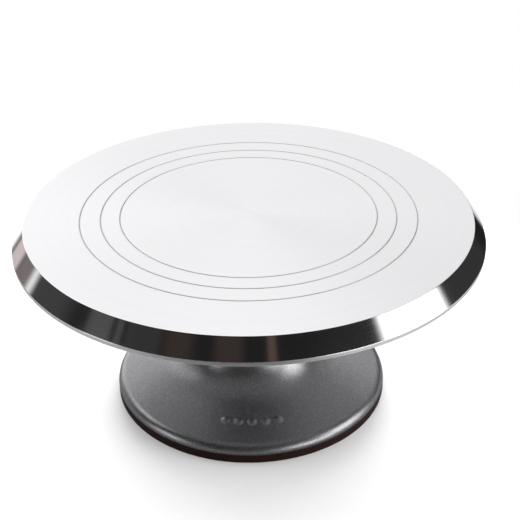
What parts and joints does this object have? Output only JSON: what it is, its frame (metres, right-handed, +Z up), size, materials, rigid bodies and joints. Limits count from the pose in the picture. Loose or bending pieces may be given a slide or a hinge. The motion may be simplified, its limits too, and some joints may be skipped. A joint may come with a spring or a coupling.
{
  "type": "cake turntable",
  "caption": "Revolving cake stand: a turned metal plate with guide rings and a polished chamfer, spinning on ball bearings in a trumpet-shaped pedestal with a rubber foot.",
  "frame": {"origin": "on the floor at the centre of the foot ring", "axes": "+Z up along the axis that the plate turns about; the front of the stand, with the cast beads, faces -Y"},
  "size_m": [0.305, 0.305, 0.132],
  "materials": {
    "plate_aluminium": "turned and brushed, polished on the chamfer",
    "hub_zinc": "bright zinc plate",
    "screw_black": "black oxide",
    "washer_zinc": "bright zinc plate",
    "shaft_steel": "ground",
    "bearing_steel": "ground and polished",
    "cage_brass": "machined",
    "shield_steel": "pressed",
    "circlip_steel": "phosphated spring steel",
    "spacer_aluminium": "turned",
    "nut_nylon": "plain nylon",
    "cap_steel": "satin",
    "pedestal_paint": "grey metallic paint with a fine texture",
    "foot_rubber": "matt"
  },
  "bodies": {
    "base": {"pedestal": "pedestal_paint", "foot_ring": "foot_rubber", "dust_cap": "cap_steel", "upper_circlip": "circlip_steel", "upper_bearing_outer_ring": "bearing_steel", "upper_bearing_top_shield": "shield_steel", "upper_bearing_bottom_shield": "shield_steel", "lower_bearing_outer_ring": "bearing_steel", "lower_bearing_top_shield": "shield_steel", "lower_bearing_bottom_shield": "shield_steel"},
    "turntable": {"plate": "plate_aluminium", "hub_flange": "hub_zinc", "hub_screws": "screw_black", "hub_lock_washers": "washer_zinc", "spindle": "shaft_steel", "spindle_screw": "screw_black", "upper_bearing_inner_ring": "bearing_steel", "lower_bearing_inner_ring": "bearing_steel", "spacer_tube": "spacer_aluminium", "clamp_washer": "washer_zinc", "lock_nut": "hub_zinc", "lock_nut_insert": "nut_nylon"},
    "upper_cage": {"upper_bearing_balls": "bearing_steel", "upper_bearing_cage": "cage_brass"},
    "lower_cage": {"lower_bearing_balls": "bearing_steel", "lower_bearing_cage": "cage_brass"}
  },
  "joints": [
    {"name": "plate_spin", "type": "hinge", "parent": "base", "child": "turntable", "pos_m": [0, 0, 0.1], "axis": [0, 0, 1], "continuous": true},
    {"name": "upper_cage_spin", "type": "hinge", "parent": "base", "child": "upper_cage", "pos_m": [0, 0, 0.103], "axis": [0, 0, 1], "continuous": true},
    {"name": "lower_cage_spin", "type": "hinge", "parent": "base", "child": "lower_cage", "pos_m": [0, 0, 0.049], "axis": [0, 0, 1], "continuous": true}
  ],
  "couplings": [
    {"joint": "upper_cage_spin", "follows": "plate_spin", "ratio": 0.3976},
    {"joint": "lower_cage_spin", "follows": "plate_spin", "ratio": 0.3976}
  ]
}
